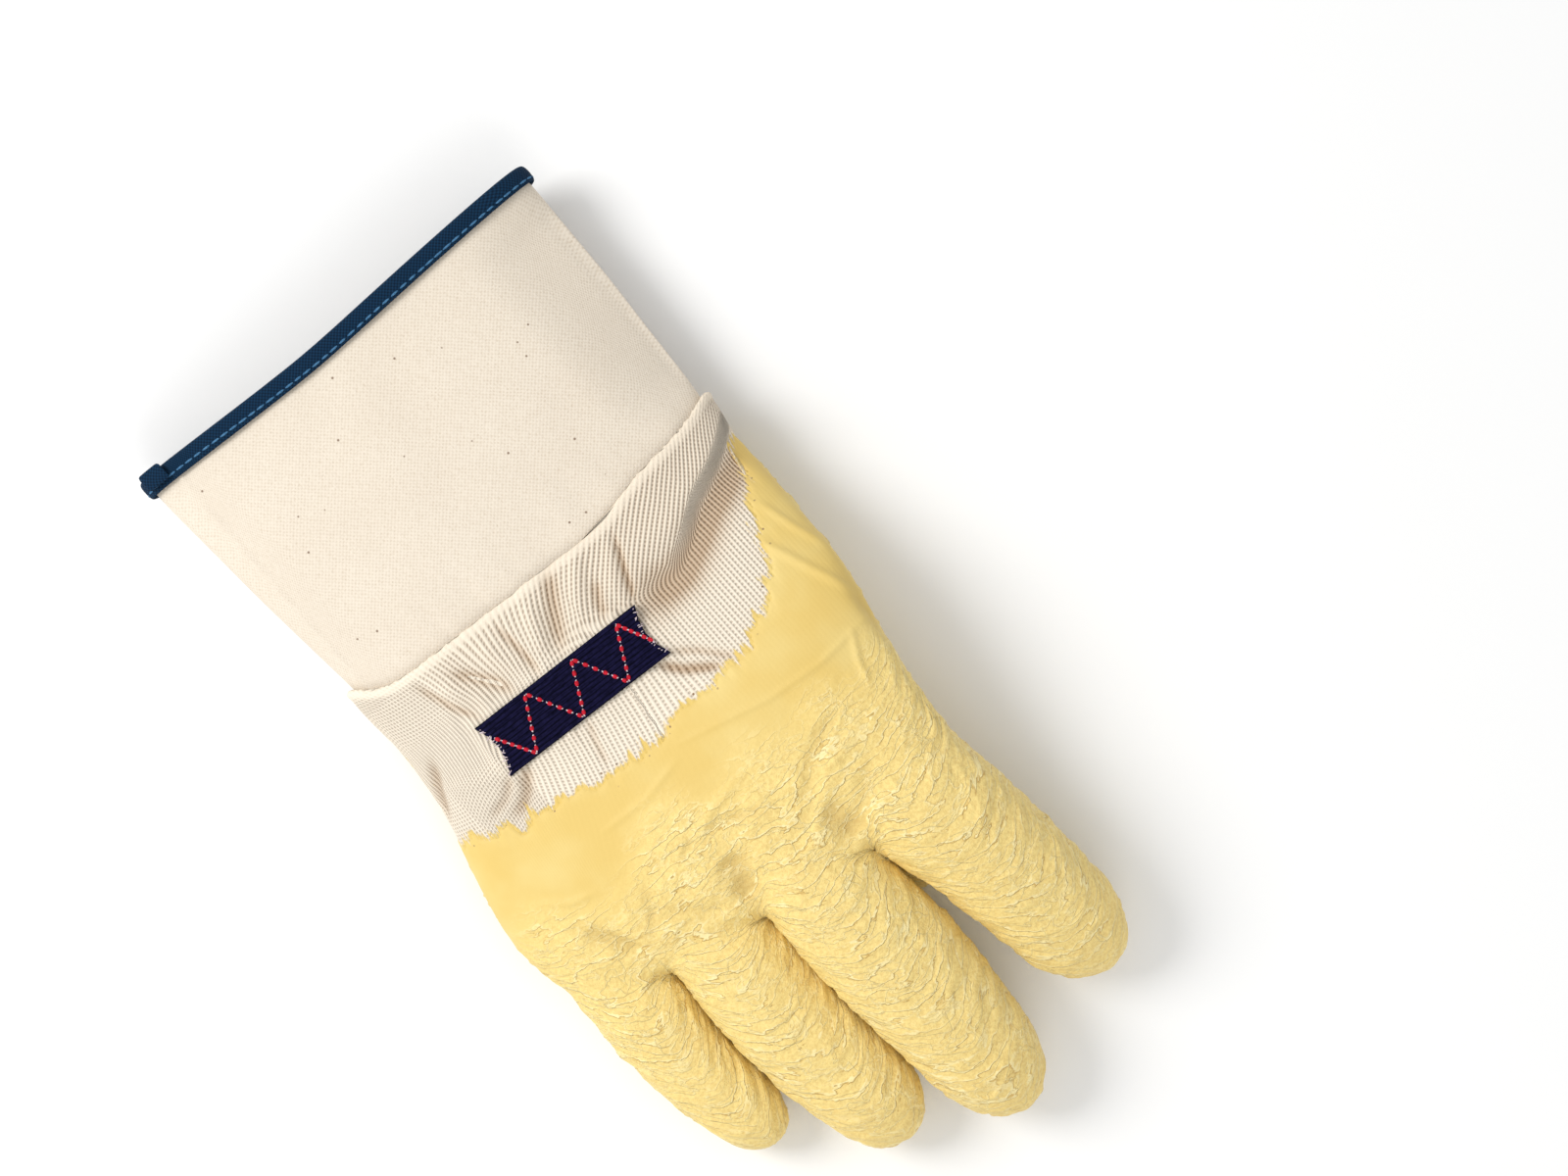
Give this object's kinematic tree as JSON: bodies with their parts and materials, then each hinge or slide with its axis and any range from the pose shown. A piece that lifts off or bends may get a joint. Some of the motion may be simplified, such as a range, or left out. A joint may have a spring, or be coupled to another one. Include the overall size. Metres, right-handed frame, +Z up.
{
  "type": "latex coated work glove",
  "caption": "Right-hand work glove with crinkled latex coat, bare knit back, elastic wrist band and bound canvas safety cuff, lying on its palm.",
  "frame": {"origin": "middle of the glove's own box, on the surface that it lies on", "axes": "+Z up from the surface, +Y towards the fingertips, +X towards the little finger"},
  "size_m": [0.1388, 0.2762, 0.0436],
  "materials": {
    "latex": "crinkled satin",
    "jersey": "ribbed knit",
    "canvas": "fine canvas",
    "binding": "woven tape",
    "elastic": "ribbed elastic"
  },
  "bodies": {
    "root": {"latex_shell": "latex", "knit_back": "jersey", "canvas_cuff": "canvas", "cuff_binding": "binding", "tape_end": "binding", "elastic_band": "elastic"}
  },
  "joints": []
}
